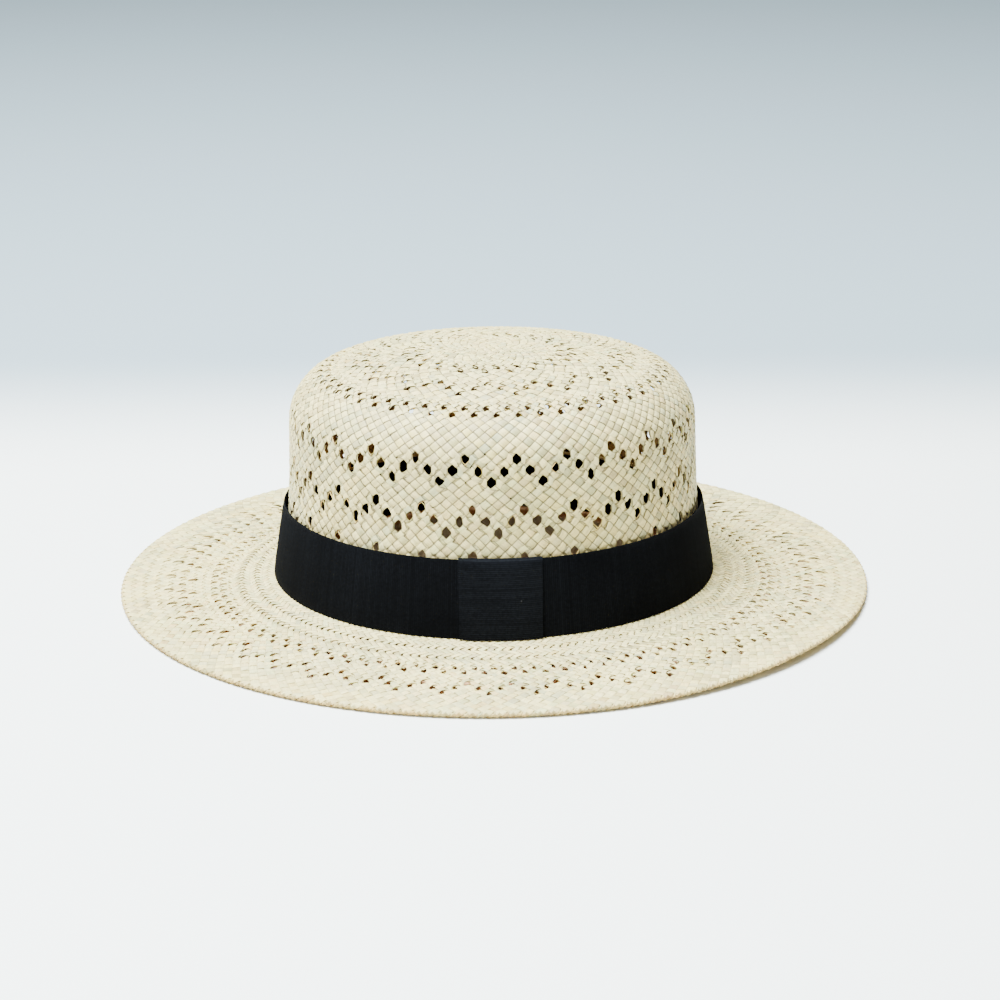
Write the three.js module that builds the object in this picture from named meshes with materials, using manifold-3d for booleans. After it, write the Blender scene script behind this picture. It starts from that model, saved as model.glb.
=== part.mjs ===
// Straw boater hat: an oval crown and brim of woven straw, a ribbon band with a folded tab
// round the foot of the crown, and a sweatband inside it. Millimetres, +Z up.
// The origin lies on the surface below the middle of the brim. The long axis runs along X,
// and the ribbon tab faces -Y.

import * as THREE from 'three';
import { mergeVertices } from 'three/addons/utils/BufferGeometryUtils.js';
import Module from 'manifold-3d';

const wasm = await Module();
wasm.setup();

// Driving dimensions. Every oval is named by its half width along Y.
const facetsRound = 52; // facets round each oval, shared so that the gaps stay even
const facetTurn = 4.15; // degrees from -Y to the first facet's edge, so that eyelets miss the edges
const seatGap = 0.3; // clearance between pieces that lie on each other
const weldDistance = 1e-4; // points this near are one point

const straw = { thickness: 1.6, colour: 0xe6dcc3, roughness: 0.62 };

const oval = {
  headHalfWidth: 88.7, // outside of the crown at its foot
  brimHalfWidth: 156.0, // outer edge of the brim
  headStretch: 9.3, // extra half length along X at the head line
  brimStretch: 12.3, // extra half length along X at the edge of the brim
  roundInside: 46.0, // the stretch fades out toward the middle of the crown top from here
};

// The wall turns over in a round shoulder, and the domed top takes over after the sweep.
const shoulder = { radius: 24.3, sweepDegrees: 77.0, steps: 6 };
const dome = { steps: 3 };

// How far the crown wall has leaned in, from its foot on the brim up to the shoulder.
const wallSections = [
  { z: 6.9, inset: 0.0 },
  { z: 10.0, inset: 1.6 },
  { z: 16.0, inset: 3.5 },
  { z: 26.0, inset: 5.2 },
  { z: 42.0, inset: 6.7 },
  { z: 60.0, inset: 7.6 },
  { z: 77.2, inset: 8.2 },
];
const shoulderStart = wallSections[wallSections.length - 1];

// Zigzag rows of eyelets in the crown wall: the cut openings are the peaks and the valleys.
const eyelet = { width: 3.0, height: 4.2, depth: 8.0, periods: 26 };
const eyeletRows = [
  { peakZ: 61.2, valleyZ: 51.3, phaseMm: 13.3 },
  { peakZ: 83.5, valleyZ: 73.6, phaseMm: 10.8 },
];
const rowRise = 2.2; // how much higher the rows run at the ends of the oval

// The brim from the head line to its edge: the height of its upper face and its thickness.
const brimSections = [
  { fromHead: -1.6, topZ: 6.6, thickness: 1.6 },
  { fromHead: 8.0, topZ: 6.4, thickness: 1.6 },
  { fromHead: 34.0, topZ: 4.7, thickness: 1.6 },
  { fromHead: 56.4, topZ: 3.2, thickness: 1.7 },
  { fromHead: 57.6, topZ: 3.0, thickness: 3.0 },
  { fromHead: 64.5, topZ: 2.8, thickness: 2.8 },
  { fromHead: 67.3, topZ: 1.9, thickness: 1.0 },
];

// One stretch of the brim's edge stands a little clear of the surface.
const brimLift = { height: 2.6, towardDegrees: -38, spreadDegrees: 24 };

const ribbon = { thickness: 0.9, colour: 0x17181b, roughness: 0.8 };

// The band is drawn straight from the flare at the foot to its upper edge, clear of the straw.
const bandSections = [
  { z: 6.95, offWall: 0.5 },
  { z: 13.0, offWall: 2.1 },
  { z: 26.0, offWall: 2.75 },
  { z: 40.4, offWall: 1.9 },
];
const bandTop = bandSections[bandSections.length - 1].z;

const tab = {
  width: 35.3,
  centreX: 3.0,
  columns: 12,
  offBand: 0.35, // clearance to the front of the band at the tab's side edges
  offBack: 0.45, // clearance to the back of the band
  swell: 0.7, // how much further its middle stands off
  foldRound: 0.4, // how much of the ribbon's thickness the fold rounds off
  hookDepth: 3.5, // how far the folded end reaches down behind the band
};

const sweat = { bottomZ: 4.3, topZ: 34.0, thickness: 1.0, colour: 0x141416, roughness: 0.7 };
const sweatHeights = [sweat.bottomZ, 10.0, 16.0, 26.0, sweat.topZ];

const radians = THREE.MathUtils.degToRad;

// Smooth step from 0 to 1.
function ease(t) {
  const s = THREE.MathUtils.clamp(t, 0, 1);
  return s * s * (3 - 2 * s);
}

// Straight-line reading of a table column at a place between its rows.
function readTable(rows, along, column, place) {
  const last = rows.length - 1;
  if (place <= rows[0][along]) return rows[0][column];
  for (let i = 0; i < last; i += 1) {
    const [low, high] = [rows[i], rows[i + 1]];
    if (place <= high[along]) {
      const t = (place - low[along]) / (high[along] - low[along]);
      return THREE.MathUtils.lerp(low[column], high[column], t);
    }
  }
  return rows[last][column];
}

// Extra half length along X of the oval whose half width is r.
function stretchAt(r) {
  const outward = (r - oval.headHalfWidth) / (oval.brimHalfWidth - oval.headHalfWidth);
  const towardEdge = (oval.brimStretch - oval.headStretch) * THREE.MathUtils.clamp(outward, 0, 1);
  return oval.headStretch * ease(r / oval.roundInside) + towardEdge;
}

// Half width of the crown's outer face at a height up to the shoulder.
function wallHalfWidth(z) {
  return oval.headHalfWidth - readTable(wallSections, 'z', 'inset', z);
}

// A point of an oval, by its half width and the angle from +X.
function ovalPoint(halfWidth, angle, z) {
  const halfLength = halfWidth + stretchAt(halfWidth);
  return new THREE.Vector3(halfLength * Math.cos(angle), halfWidth * Math.sin(angle), z);
}

// A lathe turned upright, drawn out from a circle to the hat's oval, and lifted where asked.
function ovalLathe(profile, liftAt = () => 0) {
  const geometry = new THREE.LatheGeometry(profile, facetsRound, radians(facetTurn));
  geometry.rotateX(Math.PI / 2);
  const place = geometry.getAttribute('position');
  for (let i = 0; i < place.count; i += 1) {
    const [x, y, z] = [place.getX(i), place.getY(i), place.getZ(i)];
    const r = Math.hypot(x, y);
    const drawnOut = r > 0 ? 1 + stretchAt(r) / r : 1;
    place.setXYZ(i, x * drawnOut, y, z + liftAt(r, Math.atan2(y, x)));
  }
  return geometry;
}

// Joined vertices and no flat triangles, as a closed solid has.
function weld(geometry) {
  const bare = geometry.clone();
  bare.deleteAttribute('normal');
  bare.deleteAttribute('uv');
  const merged = mergeVertices(bare, weldDistance);
  const index = merged.getIndex().array;
  const kept = [];
  for (let i = 0; i < index.length; i += 3) {
    const [a, b, c] = [index[i], index[i + 1], index[i + 2]];
    if (a !== b && b !== c && c !== a) kept.push(a, b, c);
  }
  merged.setIndex(kept);
  return merged;
}

function toSolid(geometry) {
  const welded = weld(geometry);
  const vertProperties = new Float32Array(welded.getAttribute('position').array);
  const triVerts = new Uint32Array(welded.getIndex().array);
  return new wasm.Manifold(new wasm.Mesh({ numProp: 3, vertProperties, triVerts }));
}

function fromSolid(solid) {
  const mesh = solid.getMesh();
  const geometry = new THREE.BufferGeometry();
  geometry.setAttribute('position', new THREE.BufferAttribute(mesh.vertProperties, 3));
  geometry.setIndex(new THREE.BufferAttribute(mesh.triVerts, 1));
  return geometry;
}

function namedMesh(name, geometry, look) {
  geometry.computeVertexNormals();
  const { colour, roughness } = look;
  const material = new THREE.MeshStandardMaterial({ color: colour, roughness, metalness: 0 });
  const mesh = new THREE.Mesh(geometry, material);
  mesh.name = name;
  return mesh;
}

// One face of the crown from its foot to the middle of the top, moved inward by a depth.
function crownFace(depth) {
  const face = wallSections.map(({ z, inset }) => (
    new THREE.Vector2(oval.headHalfWidth - inset - depth, z)));
  const arcCentre = oval.headHalfWidth - shoulderStart.inset - shoulder.radius;
  const radius = shoulder.radius - depth;
  const sweep = radians(shoulder.sweepDegrees);
  for (let i = 1; i <= shoulder.steps; i += 1) {
    const turn = (sweep * i) / shoulder.steps;
    const across = arcCentre + radius * Math.cos(turn);
    face.push(new THREE.Vector2(across, shoulderStart.z + radius * Math.sin(turn)));
  }
  // The dome is a parabola that leaves the shoulder along its tangent.
  const rim = face[face.length - 1].clone();
  const rise = rim.x / Math.tan(sweep) / 2;
  for (let i = 1; i <= dome.steps; i += 1) {
    const out = 1 - i / dome.steps;
    face.push(new THREE.Vector2(rim.x * out, rim.y + rise * (1 - out ** 2)));
  }
  return face;
}

// Place on the crown's outer face: half width and the upward tilt of the face.
function crownFaceAt(z) {
  if (z <= shoulderStart.z) return { halfWidth: wallHalfWidth(z), tilt: 0 };
  const tilt = Math.asin((z - shoulderStart.z) / shoulder.radius);
  const leanIn = shoulderStart.inset + shoulder.radius * (1 - Math.cos(tilt));
  return { halfWidth: oval.headHalfWidth - leanIn, tilt };
}

// A six-sided plug with its points up and down, square to the straw where it goes through.
function eyeletPlug(angle, z) {
  const { halfWidth, tilt } = crownFaceAt(z);
  const halfLength = halfWidth + stretchAt(halfWidth);
  const sides = 6;
  const plug = new THREE.CylinderGeometry(0.5, 0.5, eyelet.depth, sides);
  plug.scale(eyelet.width / Math.cos(Math.PI / sides), 1, eyelet.height);
  plug.rotateX(tilt);
  const outward = Math.atan2(halfLength * Math.sin(angle), halfWidth * Math.cos(angle));
  plug.rotateZ(outward - Math.PI / 2);
  const place = ovalPoint(halfWidth, angle, z);
  plug.translate(place.x, place.y, place.z);
  return plug;
}

function crown() {
  const inner = crownFace(straw.thickness).reverse();
  const outer = crownFace(0);
  let solid = toSolid(ovalLathe([...inner, ...outer]));
  const front = -Math.PI / 2;
  for (const row of eyeletRows) {
    const { halfWidth } = crownFaceAt(row.valleyZ);
    const frontRadius = halfWidth + stretchAt(halfWidth);
    const start = front + row.phaseMm / frontRadius;
    for (let i = 0; i < 2 * eyelet.periods; i += 1) {
      const angle = start + (Math.PI * i) / eyelet.periods;
      const frontZ = i % 2 === 0 ? row.peakZ : row.valleyZ;
      const z = frontZ + rowRise * Math.cos(angle) ** 2;
      solid = solid.subtract(toSolid(eyeletPlug(angle, z)));
    }
  }
  return namedMesh('crown', fromSolid(solid), straw);
}

// Height that the brim is lifted by, fading from its edge to the head line.
function brimLiftAt(halfWidth, angle) {
  const width = oval.brimHalfWidth - oval.headHalfWidth;
  const outward = THREE.MathUtils.clamp((halfWidth - oval.headHalfWidth) / width, 0, 1);
  const away = angle - radians(brimLift.towardDegrees);
  const turned = Math.atan2(Math.sin(away), Math.cos(away)) / radians(brimLift.spreadDegrees);
  return brimLift.height * outward ** 2 * Math.exp(-(turned ** 2));
}

function brim() {
  const top = brimSections.map(({ fromHead, topZ }) => (
    new THREE.Vector2(oval.headHalfWidth + fromHead, topZ)));
  const under = brimSections.map(({ fromHead, topZ, thickness }) => (
    new THREE.Vector2(oval.headHalfWidth + fromHead, topZ - thickness)));
  const outline = [...under, ...top.reverse()];
  outline.push(outline[0].clone());
  return namedMesh('brim', weld(ovalLathe(outline, brimLiftAt)), straw);
}

// Half width of the band's faces at a height: offFace is measured from its inner face.
function bandHalfWidth(z, offFace) {
  return wallHalfWidth(z) + readTable(bandSections, 'z', 'offWall', z) + offFace;
}

function ribbonBand() {
  const outer = bandSections.map(({ z }) => (
    new THREE.Vector2(bandHalfWidth(z, ribbon.thickness), z)));
  const inner = bandSections.map(({ z }) => new THREE.Vector2(bandHalfWidth(z, 0), z));
  const outline = [...outer, ...inner.reverse()];
  outline.push(outline[0].clone());
  return namedMesh('ribbon_band', weld(ovalLathe(outline)), ribbon);
}

// The tab's section, seen along the band: up its face, over the band's edge and down behind.
// Distances across are measured from the band's inner face.
function tabSection() {
  const { thickness } = ribbon;
  const bottom = bandSections[0].z;
  const overTop = bandTop + seatGap;
  const hookEnd = bandTop - tab.hookDepth;
  const front = thickness + tab.offBand;
  const back = -tab.offBack;
  const rounded = tab.foldRound * thickness;
  const between = bandSections.slice(1, -1).map(({ z }) => z);
  return [
    new THREE.Vector2(front, bottom),
    new THREE.Vector2(front + thickness, bottom),
    ...between.map((z) => new THREE.Vector2(front + thickness, z)),
    new THREE.Vector2(front + thickness, bandTop),
    new THREE.Vector2(front + rounded, overTop + thickness),
    new THREE.Vector2(back - rounded, overTop + thickness),
    new THREE.Vector2(back - thickness, overTop),
    new THREE.Vector2(back - thickness, hookEnd),
    new THREE.Vector2(back, hookEnd),
    new THREE.Vector2(back, overTop),
    new THREE.Vector2(front, overTop),
    ...between.reverse().map((z) => new THREE.Vector2(front, z)),
  ];
}

function ribbonTab() {
  const geometry = new THREE.ExtrudeGeometry(new THREE.Shape(tabSection()), {
    depth: tab.width,
    steps: tab.columns,
    bevelEnabled: false,
  });
  const place = geometry.getAttribute('position');
  for (let i = 0; i < place.count; i += 1) {
    const [across, z] = [place.getX(i), place.getY(i)];
    const x = tab.centreX + tab.width / 2 - place.getZ(i);
    const fromMiddle = (2 * (x - tab.centreX)) / tab.width;
    const isFace = across > ribbon.thickness && z < bandTop;
    const swell = isFace ? tab.swell * (1 - fromMiddle ** 4) : 0;
    const halfWidth = bandHalfWidth(Math.min(z, bandTop), across + swell);
    const halfLength = halfWidth + stretchAt(halfWidth);
    place.setXYZ(i, x, -halfWidth * Math.sqrt(1 - (x / halfLength) ** 2), z);
  }
  return namedMesh('ribbon_tab', weld(geometry), ribbon);
}

function sweatband() {
  const offWall = straw.thickness + seatGap;
  const faceAt = (depth) => sweatHeights.map((z) => (
    new THREE.Vector2(wallHalfWidth(z) - offWall - depth, z)));
  const outline = [...faceAt(0), ...faceAt(sweat.thickness).reverse()];
  outline.push(outline[0].clone());
  return namedMesh('sweatband', weld(ovalLathe(outline)), sweat);
}

const hat = new THREE.Group();
hat.add(crown(), brim(), ribbonBand(), ribbonTab(), sweatband());

export default hat;
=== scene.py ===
import math

import bpy
import numpy as np
from mathutils import Matrix, Vector


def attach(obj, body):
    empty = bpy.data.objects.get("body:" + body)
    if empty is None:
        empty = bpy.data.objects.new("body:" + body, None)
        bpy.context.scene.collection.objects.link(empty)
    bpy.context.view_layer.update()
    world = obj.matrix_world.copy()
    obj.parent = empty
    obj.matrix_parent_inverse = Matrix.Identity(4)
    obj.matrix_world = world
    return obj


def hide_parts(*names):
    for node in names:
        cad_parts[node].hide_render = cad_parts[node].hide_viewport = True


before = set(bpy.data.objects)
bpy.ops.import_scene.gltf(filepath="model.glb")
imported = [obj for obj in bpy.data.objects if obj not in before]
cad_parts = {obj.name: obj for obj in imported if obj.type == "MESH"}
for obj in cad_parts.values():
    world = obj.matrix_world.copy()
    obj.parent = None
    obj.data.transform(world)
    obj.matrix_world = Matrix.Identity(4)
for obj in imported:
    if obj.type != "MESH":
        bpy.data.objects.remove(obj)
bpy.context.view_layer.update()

mm = 0.001  # sizes below are in millimetres
front = -math.pi / 2  # the ribbon tab's side of the oval
rng = np.random.default_rng(1912)

# the hat's ovals, each named by its half width along Y
oval = {
    "headHalfWidth": 88.7,
    "brimHalfWidth": 156.0,
    "headStretch": 9.3,
    "brimStretch": 12.3,
    "roundInside": 46.0,
}
crownForm = {
    "footZ": 6.9,
    "shoulderZ": 77.2,
    "shoulderRadius": 24.3,
    "shoulderSweep": math.radians(77),
    "quickLean": 6.25,  # the flare at the foot
    "quickReach": 12.6,
    "slowLean": 0.028,  # the taper above it, per millimetre
    "strawDepth": 0.55,  # middle of the weave below the outer face
}
brimForm = {
    "lift": 2.6,
    "liftToward": math.radians(-38),
    "liftSpread": math.radians(24),
    "hemWidth": 9.8,
    "hemUnderZ": 0.55,
    "hemTopZ": 2.3,
    "edgeOffset": 66.85,
    "edgeRadius": 0.85,
    "edgeZ": 1.4,
    # the upper face from the hem to the head line: distance from that line, and height
    "topLine": ((59.0, 2.45), (57.2, 2.3), (55.4, 2.72), (34, 4.12), (8, 5.82), (-1.2, 6.0)),
}
strip = {
    "share": 0.95,  # width of a strip in its pitch
    "thickness": 0.26,
    "rise": 0.38,  # how far it goes over and under
    "crowned": 0.3,
    "aspect": 0.945,  # height to width of the weave's diamonds
    "wobble": 0.028,
    "overHalf": 0.3,  # half of the stretch, in rows, that lies level on top or below
    "toneSpread": 0.125,
    "warmShare": 0.3,
    "greenShare": 0.18,
    "driftShare": 0.6,
    "toneRange": (0.66, 1.16),
    "undersideShade": (0.76, 0.62, 0.44),  # painted brown shade on the strips' lower faces and the turned hem
}


# shared mesh and surface helpers

def ease(t):
    t = np.clip(t, 0, 1)
    return t * t * (3 - 2 * t)


def outwardShare(r):
    # 0 up to the head line and 1 at the brim's edge
    head = oval["headHalfWidth"]
    return np.clip((r - head) / (oval["brimHalfWidth"] - head), 0, 1)


def stretchAt(r):
    towardEdge = (oval["brimStretch"] - oval["headStretch"]) * outwardShare(r)
    return oval["headStretch"] * ease(r / oval["roundInside"]) + towardEdge


def leanIn(z):
    up = np.maximum(z - crownForm["footZ"], 0)
    flare = crownForm["quickLean"] * (1 - np.exp(-up / crownForm["quickReach"]))
    return flare + crownForm["slowLean"] * up


def wallHalfWidth(z):
    return oval["headHalfWidth"] - leanIn(z)


class Profile:
    # a line from the hem to the top, read by its length s
    def __init__(self, points):
        points = np.asarray(points, float)
        steps = np.linalg.norm(np.diff(points, axis=0), axis=1)
        length = np.concatenate([[0], np.cumsum(steps)])
        count = int(length[-1] / 0.2)
        self.s = np.linspace(0, length[-1], count)
        self.r = np.interp(self.s, length, points[:, 0])
        self.z = np.interp(self.s, length, points[:, 1])
        self.dr = np.gradient(self.r, self.s)
        self.dz = np.gradient(self.z, self.s)

    def at(self, s, theta, off, liftFn=None):
        s = np.clip(s, self.s[0], self.s[-1])
        r, z = np.interp(s, self.s, self.r), np.interp(s, self.s, self.z)
        outR, outZ = np.interp(s, self.s, self.dz), -np.interp(s, self.s, self.dr)
        size = np.hypot(outR, outZ)
        outR, outZ = outR / size, outZ / size
        halfLength = r + stretchAt(r)
        nx, ny = r * np.cos(theta), halfLength * np.sin(theta)
        flat = np.maximum(np.hypot(nx, ny), 1e-9)
        x = halfLength * np.cos(theta) + off * outR * nx / flat
        y = r * np.sin(theta) + off * outR * ny / flat
        z = z + off * outZ
        if liftFn is not None:
            z = z + liftFn(r, theta)
        return np.stack([x, y, z], -1)

    def where(self, column, value, fromS=0.0):
        # length at which a falling or rising column first passes a value
        keep = self.s >= fromS
        part, s = getattr(self, column)[keep], self.s[keep]
        passed = np.nonzero(np.diff(np.sign(part - value)))[0]
        return float(s[passed[0]])


def crownProfile(depth):
    z = np.linspace(crownForm["footZ"], crownForm["shoulderZ"], 300)
    wall = np.stack([wallHalfWidth(z) - depth, z], 1)
    turn = np.linspace(0, crownForm["shoulderSweep"], 120)[1:]
    centre = wallHalfWidth(crownForm["shoulderZ"]) - crownForm["shoulderRadius"]
    radius = crownForm["shoulderRadius"] - depth
    arc = np.stack([centre + radius * np.cos(turn), crownForm["shoulderZ"] + radius * np.sin(turn)], 1)
    rimR, rimZ = arc[-1]
    rise = rimR / math.tan(crownForm["shoulderSweep"]) / 2
    out = np.linspace(1, 0, 200)[1:]
    dome = np.stack([rimR * out, rimZ + rise * (1 - out ** 2)], 1)
    return Profile(np.concatenate([wall, arc, dome]))


def brimProfile():
    # from the inner end of the turned hem, round the edge, and over the top to the head line
    radius, edgeZ, underZ = brimForm["edgeRadius"], brimForm["edgeZ"], brimForm["hemUnderZ"]
    edgeCentre = brimForm["edgeOffset"] - radius
    turn = np.linspace(-math.pi / 2, math.pi / 2, 24)
    under = [(edgeCentre - brimForm["hemWidth"], underZ), (edgeCentre - 1.0, underZ)]
    edge = [(edgeCentre + radius * math.cos(t), edgeZ + radius * math.sin(t)) for t in turn]
    top = [(edgeCentre - 1.5, brimForm["hemTopZ"]), *brimForm["topLine"]]
    return Profile([(oval["headHalfWidth"] + offset, z) for offset, z in under + edge + top])


def brimLiftAt(r, theta):
    away = theta - brimForm["liftToward"]
    turned = np.arctan2(np.sin(away), np.cos(away)) / brimForm["liftSpread"]
    return brimForm["lift"] * outwardShare(r) ** 2 * np.exp(-turned ** 2)


attributeKinds = {
    "stripTone": ("FLOAT_COLOR", "color"),
    "stripCoord": ("FLOAT_VECTOR", "vector"),
    "stripFold": ("FLOAT", "value"),
    "ribShade": ("FLOAT", "value"),
}


def joinedMesh(name, verts, quads, caps=None, sharp=math.radians(50), **layers):
    # quads and caps are index arrays, verts in millimetres
    mesh = bpy.data.meshes.new(name)
    verts = np.asarray(verts, np.float32).reshape(-1, 3) * mm
    mesh.vertices.add(len(verts))
    mesh.vertices.foreach_set("co", verts.ravel())
    faces = [np.asarray(quads, np.int32).reshape(-1, 4)]
    if caps is not None:
        faces.append(np.asarray(caps, np.int32))
    sizes = np.concatenate([np.full(len(f), f.shape[1]) for f in faces])
    loops = np.concatenate([f.ravel() for f in faces])
    mesh.loops.add(len(loops))
    mesh.loops.foreach_set("vertex_index", loops.astype(np.int32))
    mesh.polygons.add(len(sizes))
    starts = np.concatenate([[0], np.cumsum(sizes)[:-1]]).astype(np.int32)
    mesh.polygons.foreach_set("loop_start", starts)
    mesh.polygons.foreach_set("use_smooth", np.full(len(sizes), True))
    for label, values in layers.items():
        kind, field = attributeKinds[label]
        layer = mesh.attributes.new(label, kind, "POINT")
        layer.data.foreach_set(field, np.asarray(values, np.float32).ravel())
    mesh.update(calc_edges=True)
    mesh.validate()
    mesh.set_sharp_from_angle(angle=sharp)
    piece = bpy.data.objects.new(name, mesh)
    bpy.context.scene.collection.objects.link(piece)
    return piece


def addPiece(piece, mat, node):
    piece.data.materials.append(mat)
    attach(piece, "root")
    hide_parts(node)


# weaving: two families of flat strips that cross on a lattice of u (round) and row (along)

# a strip's section: three points above and two below
sectionSide = np.array([-0.5, 0.0, 0.5, 0.5, -0.5])


def stripTones(count, samples, edge):
    # each strip has its own cream, a little pinker, greener or paler; alpha is how strong the painted
    # shade at its edges and dives is
    spread = strip["toneSpread"]
    light = 1 + spread * rng.standard_normal((count, 1, 1))
    warm = strip["warmShare"] * spread * rng.standard_normal((count, 1, 1))
    green = strip["greenShare"] * spread * rng.standard_normal((count, 1, 1))
    drift = np.cumsum(rng.standard_normal((count, samples, 1)), axis=1)
    slow = strip["driftShare"] * spread * drift / math.sqrt(samples)
    value = np.broadcast_to(light + slow, (count, samples, 5))
    colour = np.stack([value + warm, value + green, value - 1.6 * warm], -1)
    colour = np.clip(colour, *strip["toneRange"])
    # the lower faces are painted a brown underside shade
    colour[:, :, 3:] *= strip["undersideShade"]
    return np.concatenate([colour, np.full(value.shape + (1,), edge)], -1)


def sectionLayer():
    faces = strip["thickness"] * np.array([0.5, 0.5, 0.5, -0.5, -0.5])
    return faces + strip["crowned"] * np.array([0, 1, 0, 0, 0])


def stripFaces(count, samples):
    # closed strips of five points to a section, one after another
    ring = np.arange(5)
    base = (np.arange(count)[:, None, None] * samples + np.arange(samples - 1)[None, :, None]) * 5
    here, nextOne = base + ring, base + (ring + 1) % 5
    quads = np.stack([here, nextOne, nextOne + 5, here + 5], -1)
    first = np.arange(count)[:, None] * samples * 5 + ring[::-1]
    last = np.arange(count)[:, None] * samples * 5 + (samples - 1) * 5 + ring
    return quads.reshape(-1, 4), np.concatenate([first, last])


def stripSet(verts, tone, alongMm, side, number, fold):
    # arrays of (strip, sample, section point) as one set of closed strips
    count, samples = verts.shape[:2]
    quads, caps = stripFaces(count, samples)
    coord = np.zeros(verts.shape)
    coord[..., 0] = alongMm + 37.0 * number  # no two strips show the same grain
    coord[..., 1] = 2 * side
    coord[..., 2] = number
    return {
        "verts": verts.reshape(-1, 3),
        "quads": quads,
        "caps": caps,
        "stripTone": tone.reshape(-1, 4),
        "stripCoord": coord.reshape(-1, 3),
        "stripFold": np.broadcast_to(fold, verts.shape[:3]).ravel(),
    }


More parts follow.
